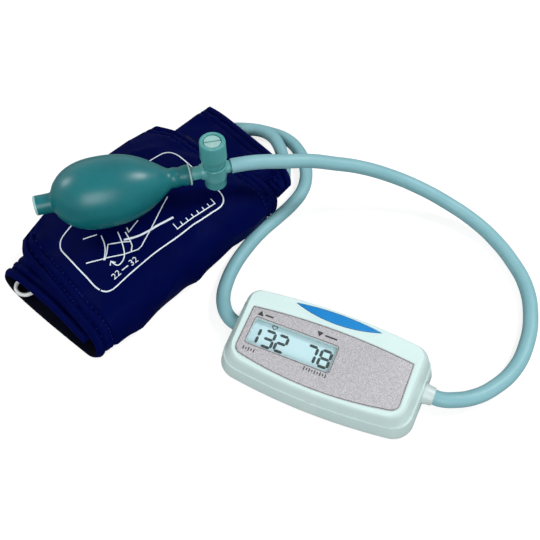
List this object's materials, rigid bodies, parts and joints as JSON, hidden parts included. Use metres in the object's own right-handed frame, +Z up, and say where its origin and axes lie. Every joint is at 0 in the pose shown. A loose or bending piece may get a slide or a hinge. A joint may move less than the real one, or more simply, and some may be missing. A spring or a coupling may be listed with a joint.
{
  "type": "semi-automatic blood pressure monitor",
  "caption": "Small wedge-shaped display unit with a start key, joined by two air hoses to a folded arm cuff and to a rubber hand bulb with a press-to-release valve.",
  "frame": {"origin": "middle of the display unit's foot, on the surface that it stands on", "axes": "+X to the user's right along the display unit, +Y away from the user, +Z up"},
  "size_m": [0.2835, 0.1937, 0.0762],
  "materials": {
    "case": "satin moulded",
    "panel": "fine speckled silver film",
    "window": "clear",
    "lcd": "pale cyan display",
    "dark_plastic": "matt",
    "contact_rubber": "layered silicone",
    "board": "green solder mask",
    "pale_plastic": "natural",
    "soft_tube": "silicone",
    "key": "satin blue",
    "cell": "plain wrap",
    "bright_metal": "bright nickel",
    "screw_metal": "zinc",
    "plug": "white",
    "bulb_rubber": "smooth dark teal",
    "mint_plastic": "pale mint",
    "valve_plastic": "satin teal",
    "seal_rubber": "black",
    "cuff_cloth": "navy woven nylon",
    "lining_cloth": "navy tricot",
    "hook_tape": "hook fastener",
    "ring_metal": "bright, white lit",
    "hose": "smooth pale teal"
  },
  "bodies": {
    "base": {"top_case": "case", "bottom_case": "case", "face_panel": "panel", "display_window": "window", "lcd_glass": "lcd", "lcd_frame": "dark_plastic", "contact_strips": "contact_rubber", "circuit_board": "board", "controller_chip": "dark_plastic", "pressure_sensor": "pale_plastic", "sensor_tube": "soft_tube", "air_manifold": "pale_plastic", "buzzer": "dark_plastic", "start_switch": "dark_plastic", "battery": "cell", "battery_spring": "bright_metal", "battery_contact": "bright_metal", "case_screws": "screw_metal", "hose_plug": "plug", "bulb": "bulb_rubber", "intake_valve": "mint_plastic", "neck_washer": "mint_plastic", "valve_body": "valve_plastic", "valve_seat": "pale_plastic", "valve_spring": "bright_metal", "cuff_cover": "cuff_cloth", "cuff_lining": "lining_cloth", "air_bladder": "seal_rubber", "bladder_port": "seal_rubber", "cuff_tail": "cuff_cloth", "hook_patch": "hook_tape", "cuff_ring": "ring_metal", "bulb_hose": "hose", "cuff_hose": "hose"},
    "start_key": {"start_button": "key", "switch_plunger": "pale_plastic"},
    "battery_door": {"battery_cover": "case"},
    "exhaust_knob": {"exhaust_button": "valve_plastic", "valve_seal": "seal_rubber"},
    "bleed_adjuster": {"bleed_screw": "mint_plastic"},
    "intake_check": {"intake_ball": "bright_metal"},
    "outlet_check": {"outlet_ball": "bright_metal"}
  },
  "joints": [
    {"name": "start_press", "type": "slide", "parent": "base", "child": "start_key", "axis": [0, 0.1097, -0.994], "range_m": [0, 0.0008], "stiffness_N_per_m": 900, "springref_m": -0.001},
    {"name": "battery_door_slide", "type": "slide", "parent": "base", "child": "battery_door", "axis": [0, 0, -1], "range_m": [0, 0.012]},
    {"name": "exhaust_press", "type": "slide", "parent": "base", "child": "exhaust_knob", "axis": [0, 0, -1], "range_m": [0, 0.0022], "stiffness_N_per_m": 1200, "springref_m": -0.002, "deforming": ["valve_spring"]},
    {"name": "bleed_turn", "type": "hinge", "parent": "exhaust_knob", "child": "bleed_adjuster", "pos_m": [-0.0893, 0.0621, 0.075], "axis": [0, 0, 1], "range_deg": [-180, 180]},
    {"name": "intake_ball_lift", "type": "slide", "parent": "base", "child": "intake_check", "axis": [0.7804, 0.6252, 0], "range_m": [0, 0.002]},
    {"name": "outlet_ball_lift", "type": "slide", "parent": "base", "child": "outlet_check", "axis": [0.7804, 0.6252, 0], "range_m": [0, 0.002]}
  ]
}
